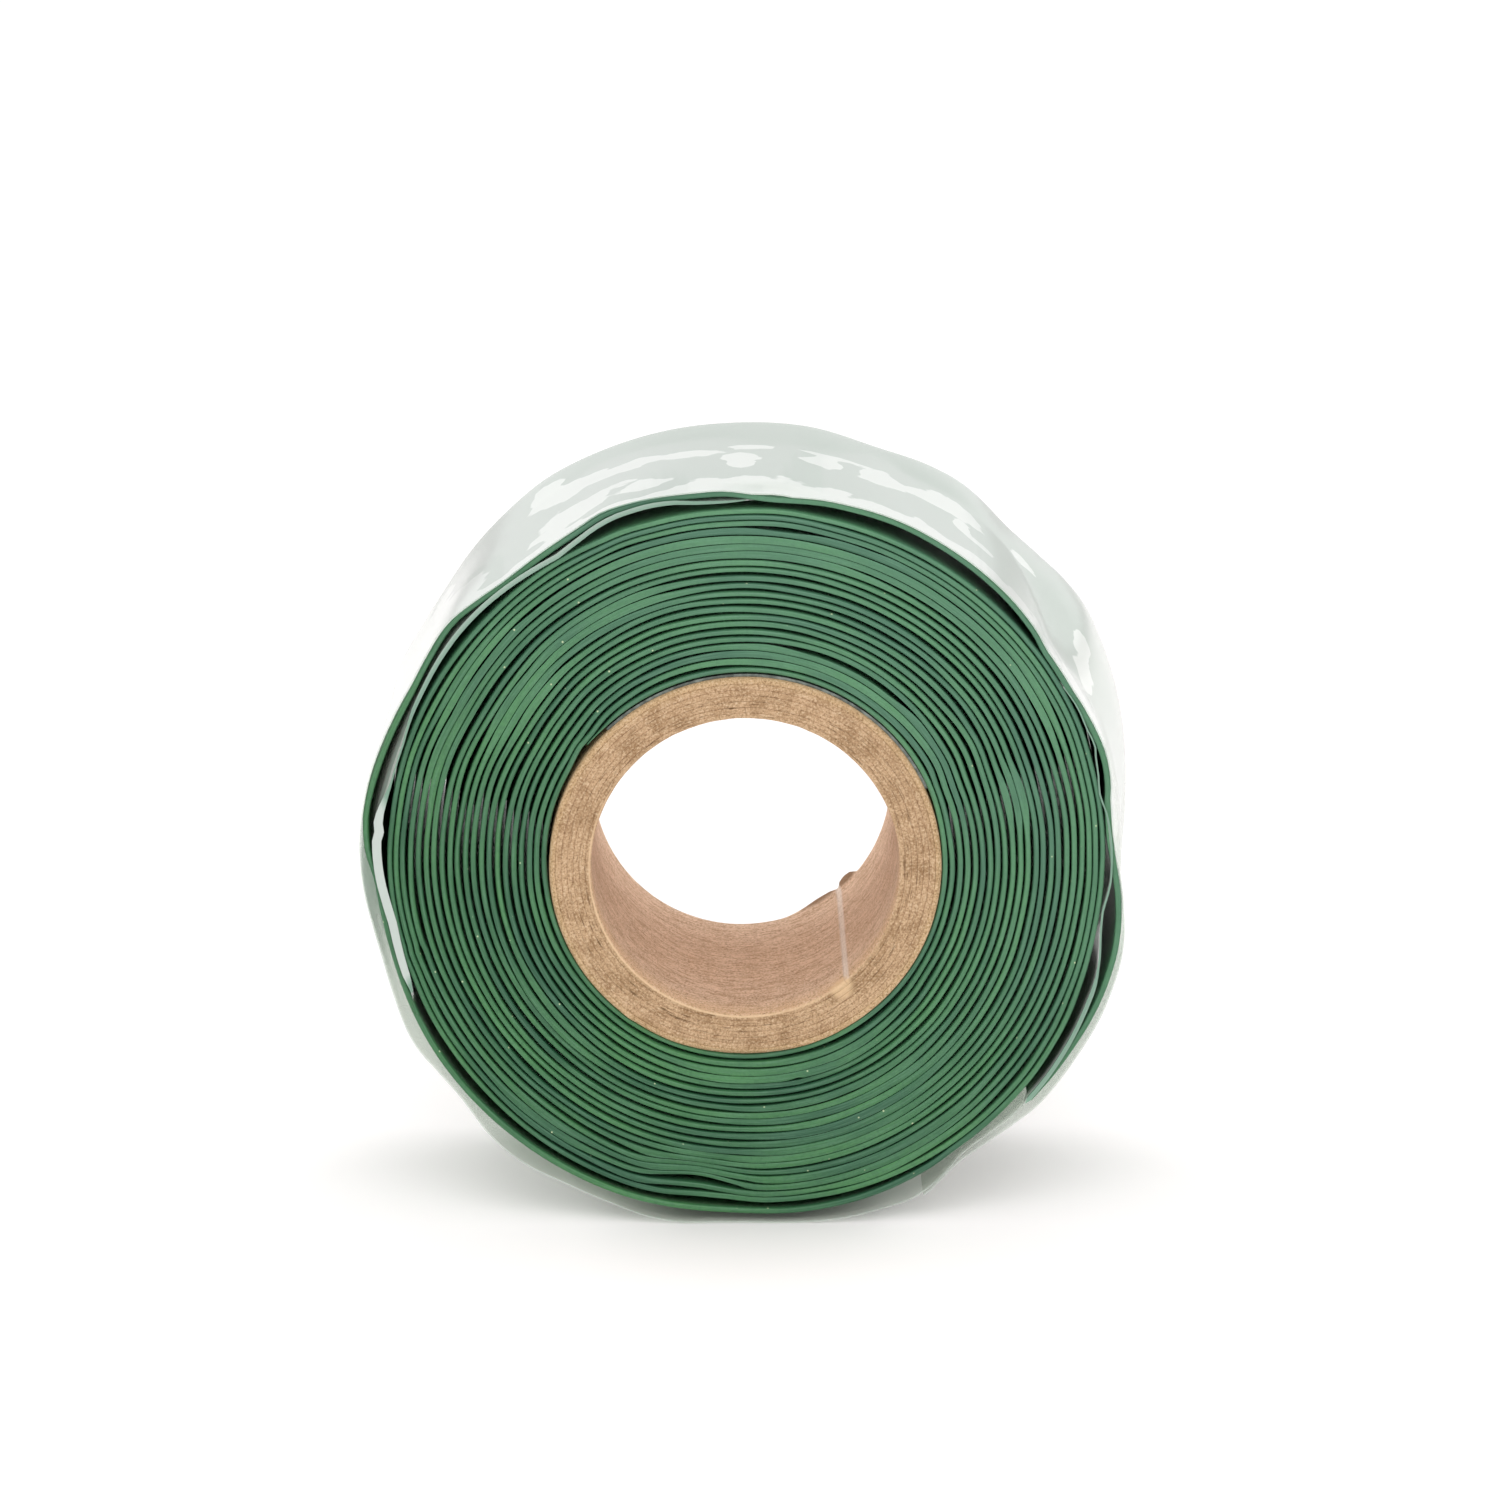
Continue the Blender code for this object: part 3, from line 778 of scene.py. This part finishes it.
def kraft_board():
    """Kraft paper board, wound and glued: matt tan with fibres, and ply lines on its cut ends."""
    finish, tree, output = new_finish("kraft_paper_board_wound")
    spot, radius = roll_places(tree)
    split = add_node(tree, "ShaderNodeSeparateXYZ", {0: spot})
    in_bore = stepped(tree, radius, BORE_RADIUS + 0.02, BORE_RADIUS + 0.15, 1.0, 0.0)
    near_bore = stepped(tree, radius, 14.0, 15.5, 1.0, 0.1)

    # The cut end: tan, blotched over 1 to 4 mm, speckled with cut fibres, straw-coloured near its outside
    fibres = grain(tree, spot, 5.5, 5.0, 0.75)
    blots = grain(tree, spot, 0.45, 4.0, 0.65)
    cut_end = blended(tree, stepped(tree, blots, 0.38, 0.66), linear("#C9A783"), linear("#A78562"))
    cut_end = blended(tree, stepped(tree, radius, 15.3, 15.9, 0.0, 0.6), cut_end, linear("#CCAC80"))
    cut_end = blended(tree, stepped(tree, fibres, 0.5, 0.64, 0.0, 0.8), cut_end, linear("#E0C6A4"))
    cut_end = blended(tree, stepped(tree, fibres, 0.5, 0.36, 0.0, 0.85), cut_end, linear("#8A6947"))

    # Plies 0.2 mm apart and short dark fibres, which follow the circle
    ring_at = add_node(tree, "ShaderNodeCombineXYZ", {
        0: calc(tree, "MULTIPLY", split.outputs[0], 0.5),
        1: calc(tree, "MULTIPLY", radius, 5.0),
        2: calc(tree, "MULTIPLY", split.outputs[2], 0.5),
    }).outputs[0]
    plies = grain(tree, ring_at, 1.0, 4.0, 0.75)
    dark_lines = calc(tree, "MULTIPLY", stepped(tree, plies, 0.55, 0.68, 0.0, 0.95), near_bore)
    cut_end = blended(tree, dark_lines, cut_end, linear("#75593C"))

    # The bore's worn lip is painted lighter, a painted highlight along its rounded edge, and a pale shred
    # stands on it beside the seam
    lip = stepped(tree, radius, 12.86, 12.98, 1.0, 0.0)
    lip = calc(tree, "MULTIPLY", stepped(tree, radius, 12.72, 12.78), lip)
    # The painted highlight on the lip is strongest towards the lower left
    toward = {0: spot, 1: (-0.7, 0, -0.7)}
    lower_left = add_node(tree, "ShaderNodeVectorMath", toward, operation="DOT_PRODUCT").outputs["Value"]
    lip = calc(tree, "MULTIPLY", lip, stepped(tree, lower_left, -4.0, 10.0, 0.25, 0.85))
    cut_end = blended(tree, lip, cut_end, linear("#EACAA3"))
    off_shred = add_node(tree, "ShaderNodeVectorMath", {0: spot, 1: SHRED_PLACE}, operation="DISTANCE")
    off_shred = calc(tree, "MULTIPLY_ADD", fibres, 1.2, off_shred.outputs["Value"])
    shred = stepped(tree, off_shred, 1.25, 1.85, 0.75, 0.0)
    cut_end = blended(tree, shred, cut_end, linear("#E5C49B"))

    # The bore: pinker, with streaks of fibre round it, dark where it is torn, and painted lighter and more
    # orange towards the front as painted light from the opening
    streak_at = add_node(tree, "ShaderNodeVectorMath", {0: spot, 1: (0.5, 3.2, 0.5)}, operation="MULTIPLY")
    streaks = grain(tree, streak_at.outputs[0], 1.0, 5.0, 0.75)
    wall = blended(tree, stepped(tree, streaks, 0.44, 0.62, 0.0, 0.75), linear("#E2C3A9"), linear("#A98665"))
    wall = blended(tree, stepped(tree, blots, 0.4, 0.62, 0.0, 0.3), wall, linear("#B18D6C"))
    # Painted light: lighter and more orange towards the front of the bore
    wall = blended(tree, stepped(tree, split.outputs[1], -9.0, -13.0, 0.0, 0.6), wall, linear("#E2BC90"))
    wall = blended(tree, stepped(tree, fibres, 0.51, 0.66, 0.0, 0.9), wall, linear("#ECD5BE"))
    wall = blended(tree, stepped(tree, fibres, 0.49, 0.35, 0.0, 0.9), wall, linear("#8D6C50"))
    torn = stepped(tree, radius, BORE_RADIUS - 0.3, BORE_RADIUS - 0.08, 0.8, 0.0)
    wall = blended(tree, torn, wall, linear("#7E5F42"))

    # A whitish smear of glue on its seam
    across_seam = (math.sin(math.radians(GLUE_ANGLE)), 0, -math.cos(math.radians(GLUE_ANGLE)))
    off_seam = add_node(tree, "ShaderNodeVectorMath", {0: spot, 1: across_seam}, operation="DOT_PRODUCT")
    off_seam = calc(tree, "ABSOLUTE", off_seam.outputs["Value"])
    glue = stepped(tree, off_seam, 0.15, 0.4, 0.6, 0.0)
    glue = calc(tree, "MULTIPLY", glue, stepped(tree, fibres, 0.25, 0.5))
    right_side = stepped(tree, split.outputs[0], 0.0, 1.0)
    wall = blended(tree, calc(tree, "MULTIPLY", glue, right_side), wall, linear("#EDE3DA"))
    wall = blended(tree, shred, wall, linear("#E5C49B"))
    tint = blended(tree, in_bore, cut_end, wall)

    height = calc(tree, "ADD", fibres, calc(tree, "MULTIPLY", plies, -0.8))
    bump = add_node(tree, "ShaderNodeBump", {"Height": height, "Strength": 0.6, "Distance": 0.1 * MM})
    skin = add_node(tree, "ShaderNodeBsdfPrincipled", {
        "Base Color": tint, "Roughness": 0.85, "Specular IOR Level": 0.3, "Normal": bump.outputs[0],
    })
    tree.links.new(skin.outputs[0], output.inputs[0])
    return finish


def strip_film():
    """Adhesive-coated polyester strip, slit: grey and half glossy."""
    finish, tree, output = new_finish("grey_polyester_strip_slit")
    spot = roll_places(tree)[0]
    cloud = grain(tree, spot, 1.5, 3.0, 0.6)
    tint = blended(tree, stepped(tree, cloud, 0.35, 0.7), linear("#4E5752"), linear("#8A948E"))
    skin = add_node(tree, "ShaderNodeBsdfPrincipled", {"Base Color": tint, "Roughness": 0.35, "IOR": 1.57})
    tree.links.new(skin.outputs[0], output.inputs[0])
    return finish


def white_table():
    """Matt white painted board, which the camera sees lighter away from the roll, out to plain white."""
    finish, tree, output = new_finish("white_painted_board")
    paint = add_node(tree, "ShaderNodeBsdfDiffuse", {"Color": linear("#F8F5F5")})
    place = add_node(tree, "ShaderNodeNewGeometry").outputs["Position"]
    away = add_node(tree, "ShaderNodeVectorMath", {0: place}, operation="LENGTH").outputs["Value"]
    strength = stepped(tree, away, 0.2, 1.0, TABLE_LIFT, FAR_LIFT)
    lift = add_node(tree, "ShaderNodeEmission", {"Color": linear("#FFFAFA"), "Strength": strength})
    both = add_node(tree, "ShaderNodeAddShader", {0: paint.outputs[0], 1: lift.outputs[0]})
    seen = add_node(tree, "ShaderNodeLightPath")
    shown = add_node(tree, "ShaderNodeMixShader", {
        0: seen.outputs["Is Camera Ray"], 1: paint.outputs[0], 2: both.outputs[0],
    })
    tree.links.new(shown.outputs[0], output.inputs[0])
    return finish


# ---------------------------------------------------------------- light and camera

# Half the table's width in metres, how much lighter than its paint the camera sees it near the roll
# and far from it, and how strongly the white room lights the roll
TABLE_HALF = 3.0
TABLE_LIFT = 0.08
FAR_LIFT = 0.42
WORLD_LIGHT = 0.71
SOFTBOXES = (
    # name, where it stands, what it is turned to, its width and length in metres, its power in watts
    ("front_softbox", (0.0, -0.42, 0.46), (0, 0, 0.03), 0.5, 0.4, 1.5),
    ("left_softbox", (-0.46, 0.2, 0.2), (0, 0, 0.03), 0.4, 0.4, 1.5),
    ("right_softbox", (0.46, 0.2, 0.2), (0, 0, 0.03), 0.4, 0.4, 1.5),
)

# Camera: how far it stands, how steeply it looks down, how it is turned, its lens, and what it aims
# at beside the roll's middle
CAMERA_REACH = 586.3
CAMERA_RISE = 15.59
CAMERA_TURN = -0.68
CAMERA_LENS = 168.0
AIM_OFFSET = (0.53, 0.0, 6.46)


def light_the_table():
    """A white room and three soft boxes. The room lights the roll less than it shows as a background."""
    world = bpy.data.worlds.new("white_room")
    world.use_nodes = True
    backdrop = world.node_tree.nodes["Background"]
    backdrop.inputs["Color"].default_value = linear("#FFFFFF")
    tree = world.node_tree
    seen = add_node(tree, "ShaderNodeLightPath")
    seen_white = calc(tree, "MAXIMUM", seen.outputs["Is Camera Ray"], seen.outputs["Is Glossy Ray"])
    seen_white = calc(tree, "MAXIMUM", seen_white, seen.outputs["Is Transmission Ray"])
    level = calc(tree, "ADD", calc(tree, "MULTIPLY", seen_white, 1 - WORLD_LIGHT), WORLD_LIGHT)
    tree.links.new(level, backdrop.inputs["Strength"])
    bpy.context.scene.world = world
    for name, stand, target, width, length, power in SOFTBOXES:
        lamp = bpy.data.lights.new(name, "AREA")
        lamp.shape = "RECTANGLE"
        lamp.size, lamp.size_y = width, length
        lamp.energy = power
        holder = bpy.data.objects.new(name, lamp)
        holder.location = stand
        holder.rotation_euler = (Vector(target) - Vector(stand)).to_track_quat("-Z", "Y").to_euler()
        bpy.context.collection.objects.link(holder)


def lay_table():
    """The white table, which runs out far behind the roll."""
    half = TABLE_HALF
    mesh = bpy.data.meshes.new("table_top")
    corners = [(-half, -half, 0), (half, -half, 0), (half, half, 0), (-half, half, 0)]
    mesh.from_pydata(corners, [], [(0, 1, 2, 3)])
    mesh.materials.append(white_table())
    table = bpy.data.objects.new("table_top", mesh)
    bpy.context.collection.objects.link(table)


def set_camera():
    """The camera stands where the photograph was taken from."""
    rise, turn = math.radians(CAMERA_RISE), math.radians(CAMERA_TURN)
    back = Vector((math.sin(turn) * math.cos(rise), -math.cos(turn) * math.cos(rise), math.sin(rise)))
    right = Vector((0, 0, 1)).cross(back).normalized()
    up = back.cross(right)
    camera = bpy.data.objects.new("camera", bpy.data.cameras.new("camera"))
    camera.data.sensor_width = 36.0
    camera.data.lens = CAMERA_LENS
    camera.data.clip_start = 0.01
    turned_to = Matrix((right, up, back)).transposed().to_4x4()
    where = AXIS + Vector(AIM_OFFSET) * MM + back * CAMERA_REACH * MM
    camera.matrix_world = Matrix.Translation(where) @ turned_to
    bpy.context.collection.objects.link(camera)
    bpy.context.scene.camera = camera


# ---------------------------------------------------------------- the roll itself

def build_tape(look):
    """One unbroken ribbon, from its start on the core to its cut end at the lower right."""
    rings = [tape_ring(station) for station in range(len(wound))]
    wrapped_band("silicone_tape", rings, look, ["tape"])


def tight_film_rings():
    """The liner under the tight laps of tape, flat on the inner face of each."""
    rings = []
    recess = 0.5 + 0.5 * drift(wound, 47, 12)
    for station in range(FIRST_LOOSE):
        height = inner[station] - FILM_ROOM / 2
        narrow = (recess[station] - FILM_HALF, FILM_HALF)
        length = wound[station] * MM_PER_DEGREE
        rings.append(film_ring(angle[station], length, [height, height], narrow, [-1, -1]))
    return rings


def loose_film_rings(middle):
    """The liner under the loose lap of tape, creased, with its front edge turned outward in places."""
    rings = []
    for station in range(FIRST_LOOSE, len(wound)):
        edge = float(along(LINER_FRONT, before_end[station]))
        lean = float(along(LINER_LEAN, before_end[station]))
        lip = float(along(LINER_LIP, before_end[station]))
        front = float(along(LINER_RECESS, before_end[station])) - LIP_PLACE
        places = (front, *middle, FILM_HALF)
        heights = []
        for across in places:
            high = tape_outer(station, across) - thick[station] - FILM_ROOM / 2
            low = tape_outer(station - LAP, across) + FILM_ROOM / 2 + FILM_THICK
            deep = min(max(across - front - LEAN_FROM, 0) / LEAN_REACH, 1)
            wish = edge + lean * deep * (2 - deep) * max(high - edge, 0)
            in_front = across < -TAPE_HALF
            heights.append(wish if in_front else max(low, min(high, wish)))
        shows = lip > LEAST_LIP
        lip_slack = 1 + min(lip / PALE_LIP, 1) if shows else -1.0
        beside = [shows * hump((across - front) / PALE_LIP_REACH) for across in places[1:]]
        slacks = [lip_slack, *(0.5 * pale - 1 for pale in beside)]
        length = wound[station] * MM_PER_DEGREE
        rings.append(film_ring(angle[station], length, heights, places, slacks, lip, lip_slack))
    return rings


def tail_film_rings(middle):
    """The liner's own last lap, which goes on past the tape's cut end, round the outside."""
    rings = []
    places = (-LIP_PLACE, *middle, FILM_HALF)
    for step in range(1, int(FILM_TAIL / STEP) + 1):
        past_end = step * STEP
        turn = CUT_END_ANGLE - past_end
        heights = [tail_outer(past_end, across) for across in places]
        slacks = [film_paleness(turn, across) for across in places]
        length = (TAPE_WOUND + past_end) * MM_PER_DEGREE
        rings.append(film_ring(turn, length, heights, places, slacks, TAIL_LIP, TAIL_LIP_SLACK))
    return rings


def build_liner(look):
    """One unbroken film, wound with the tape on its inner side and on past its end."""
    middle = columns(FILM_HALF, LOOSE_COLUMNS)
    rings = tight_film_rings() + loose_film_rings(middle) + tail_film_rings(middle)
    wrapped_band("liner_film_wound", rings, look, ["liner_film"])


def build_core(look):
    """Seven plies, each a sleeve with a butt seam; their cut ends are a little rough.

    The outermost ply's front corner is worn unevenly and the innermost ply's is rounded. The innermost
    ply is torn at its back end, where a flap stands in from the rim.
    """
    pitch = (CORE_RADIUS - BORE_RADIUS) / PLY_COUNT
    for ply in range(PLY_COUNT):
        low = BORE_RADIUS + ply * pitch
        high = low + pitch - PLY_ROOM
        seam = SEAM_ANGLE + ply * SEAM_STAGGER
        half_gap = math.degrees(SEAM_HALF_GAP / low)
        turns = np.linspace(seam + half_gap, seam + 360 - half_gap, 361)
        swing = turns - turns[0]
        rough_front = stray(swing, 0.06, 2.5, 40 + ply) + stray(swing, 0.06, 17, 50 + ply)
        rough_back = stray(swing, 0.06, 3.5, 60 + ply) + stray(swing, 0.05, 17, 70 + ply)
        worn_lip = worn_rim = np.full(len(swing), FRESH_CORNER)
        flap = np.zeros(len(swing))
        if ply == 0:
            worn_lip = LIP_WEAR + stray(swing, LIP_WEAR_SPREAD, 4, 80)
            flap = along(FLAP, turns % 360)
        if ply == PLY_COUNT - 1:
            worn_rim = along(RIM_WEAR, turns % 360)
        rings = []
        for place, turn in enumerate(turns):
            front = -CORE_HALF + ROUGH_END + rough_front[place]
            back = CORE_HALF - ROUGH_END - rough_back[place]
            lip, rim, lift = worn_lip[place], worn_rim[place], flap[place]
            front_run = [
                (front + lip, low), (front + lip * 0.3, low + lip * 0.3),
                (front, low + lip), (front, high - rim), (front + rim, high),
            ]
            back_run = [
                (back - 0.1, high), (back, high - 0.1),
                (back, low + FRESH_CORNER - lift), (back - 0.1, low - lift),
            ]
            inner_run = [(back - FLAP_DEPTH, low), (back - FLAP_DEPTH - 0.4, low)] if ply == 0 else []
            rings.append((turn, math.radians(turn) * low, front_run, [], back_run, inner_run))
        wrapped_band(f"board_ply_{ply + 1}", rings, look, [f"core_ply_{ply + 1}"])


def build_strip(look):
    """The strip that shows between the core and the first lap of tape."""
    rings = []
    for turn in np.arange(STRIP_START, STRIP_START - STRIP_ARC - 0.5, -1.0):
        low = CORE_RADIUS + STRIP_ROOM
        high = low + STRIP_THICK
        front_run = [(-STRIP_HALF, low), (-STRIP_HALF, high)]
        back_run = [(STRIP_HALF, high), (STRIP_HALF, low)]
        rings.append((turn, math.radians(turn) * low, front_run, [], back_run, []))
    wrapped_band("starter_strip_wound", rings, look, ["starter_strip"])


build_core(kraft_board())
build_strip(strip_film())
build_tape(silicone_rubber())
build_liner(liner_film())
lay_table()
light_the_table()
set_camera()
bpy.context.scene.view_settings.view_transform = "Standard"
